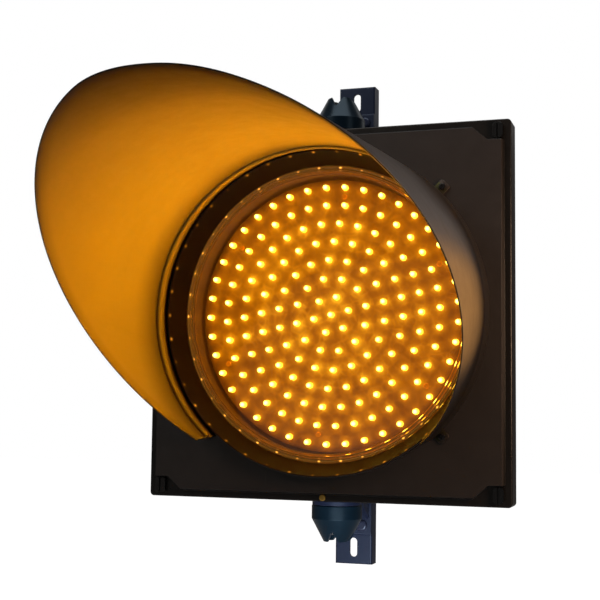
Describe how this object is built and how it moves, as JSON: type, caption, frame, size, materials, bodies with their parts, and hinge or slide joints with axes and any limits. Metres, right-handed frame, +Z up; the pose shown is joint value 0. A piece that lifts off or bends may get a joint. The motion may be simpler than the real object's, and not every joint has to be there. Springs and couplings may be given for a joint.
{
  "type": "traffic signal head",
  "caption": "Square single-aspect LED traffic signal with a long cutaway visor, a hinged door with corner latches, and a pair of swivel brackets that clamp on hollow studs.",
  "frame": {"origin": "midway between the two bracket slots, in the plane of the back of the bracket plates, on the line of the lens axis; the vertical swivel axis is 67 mm in front of it and the flange edges rest on the wall 15 mm behind it", "axes": "+Z up, parallel to the swivel axis; +Y into the wall; light leaves along -Y; +X to the right seen from the front, door hinges on the -X side"},
  "size_m": [0.37, 0.5576, 0.516],
  "materials": {
    "bracket_paint": "satin",
    "rivet_steel": "gloss",
    "housing_plastic": "satin",
    "door_plastic": "satin",
    "visor_plastic": "satin",
    "seal_rubber": "matte",
    "stud_steel": "zinc plated",
    "screw_steel": "zinc plated",
    "clamp_steel": "spring steel",
    "terminal_plastic": "matte",
    "terminal_brass": "satin",
    "clip_plastic": "satin",
    "lens_clear": "clear moulded",
    "module_plastic": "satin",
    "board_green": "solder mask",
    "led_amber": "clear epoxy",
    "driver_potting": "matte",
    "lead_jacket": "matte",
    "nut_plastic": "satin"
  },
  "bodies": {
    "brackets": {"top_wall_plate": "bracket_paint", "top_arm": "bracket_paint", "top_rivets": "rivet_steel", "bottom_wall_plate": "bracket_paint", "bottom_arm": "bracket_paint", "bottom_rivets": "rivet_steel"},
    "head": {"housing_shell": "housing_plastic", "door_gasket": "seal_rubber", "top_friction_washer": "seal_rubber", "bottom_friction_washer": "seal_rubber", "top_stud": "stud_steel", "bottom_stud": "stud_steel", "top_stud_nut": "stud_steel", "bottom_stud_nut": "stud_steel", "top_stud_plug": "seal_rubber", "hinge_pins": "screw_steel", "terminal_block": "terminal_plastic", "terminal_screws": "terminal_brass", "block_screws": "screw_steel"},
    "door": {"door_panel": "door_plastic", "drain_plug": "terminal_brass", "hinge_corner_clips": "clip_plastic", "visor": "visor_plastic", "visor_screws": "screw_steel", "lens": "lens_clear", "lens_gasket": "seal_rubber", "module_seal": "seal_rubber", "module_housing": "module_plastic", "led_board": "board_green", "leds": "led_amber", "board_screws": "screw_steel", "module_clamps": "clamp_steel", "clamp_screws": "screw_steel", "driver_case": "driver_potting", "driver_screws": "screw_steel", "lead_strain_relief": "clip_plastic", "module_lead": "lead_jacket"},
    "upper_latch": {"upper_latch_knob": "clip_plastic", "upper_latch_collar": "clamp_steel", "upper_latch_cam": "clamp_steel", "upper_latch_nut": "screw_steel"},
    "lower_latch": {"lower_latch_knob": "clip_plastic", "lower_latch_collar": "clamp_steel", "lower_latch_cam": "clamp_steel", "lower_latch_nut": "screw_steel"},
    "top_nut": {"top_lock_nut": "nut_plastic"},
    "bottom_nut": {"bottom_lock_nut": "nut_plastic"}
  },
  "joints": [
    {"name": "head_swivel", "type": "hinge", "parent": "brackets", "child": "head", "pos_m": [0, -0.067, 0], "axis": [0, 0, 1], "range_deg": [-35, 35]},
    {"name": "door_hinge", "type": "hinge", "parent": "head", "child": "door", "pos_m": [-0.176, -0.097, 0], "axis": [0, 0, -1], "range_deg": [0, 100]},
    {"name": "upper_latch_turn", "type": "hinge", "parent": "door", "child": "upper_latch", "pos_m": [0.1725, -0.112, 0.1735], "axis": [0, -1, 0], "range_deg": [0, 90]},
    {"name": "lower_latch_turn", "type": "hinge", "parent": "door", "child": "lower_latch", "pos_m": [0.1725, -0.112, -0.1735], "axis": [0, 1, 0], "range_deg": [0, 90]},
    {"name": "top_nut_turn", "type": "hinge", "parent": "head", "child": "top_nut", "pos_m": [0, -0.067, 0.205], "axis": [0, 0, 1], "range_deg": [0, 90]},
    {"name": "bottom_nut_turn", "type": "hinge", "parent": "head", "child": "bottom_nut", "pos_m": [0, -0.067, -0.205], "axis": [0, 0, -1], "range_deg": [0, 90]}
  ]
}
